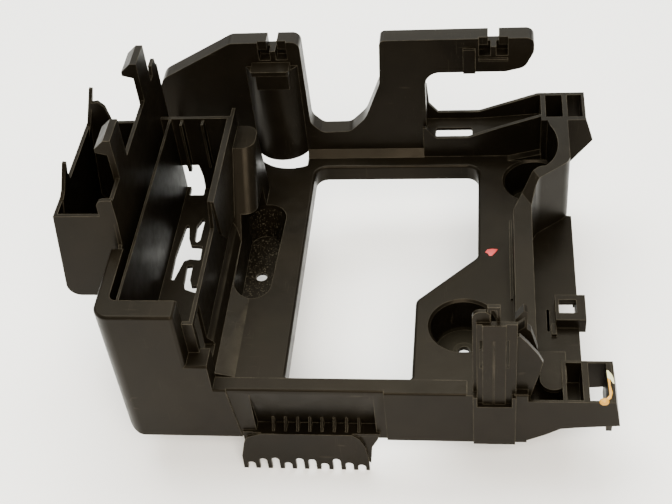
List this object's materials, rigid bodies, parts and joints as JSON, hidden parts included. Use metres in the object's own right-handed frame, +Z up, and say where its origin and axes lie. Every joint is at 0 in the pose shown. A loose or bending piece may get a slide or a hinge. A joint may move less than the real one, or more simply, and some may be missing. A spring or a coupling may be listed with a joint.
{
  "type": "injection moulded plastic housing",
  "caption": "Open carrier housing moulded in black plastic: floor with a large window, tall hollow cell, hooked back wall, rail, bolt recesses, clips and a comb.",
  "frame": {"origin": "middle of the footprint at the height of the lowest point, the tips of the comb", "axes": "+X along the front wall to the right, +Y away from the front wall, +Z up out of the floor"},
  "size_m": [0.3626, 0.2586, 0.2138],
  "materials": {
    "black_plastic": "satin black moulded plastic with a fine texture"
  },
  "bodies": {
    "root": {"housing": "black_plastic"}
  },
  "joints": []
}
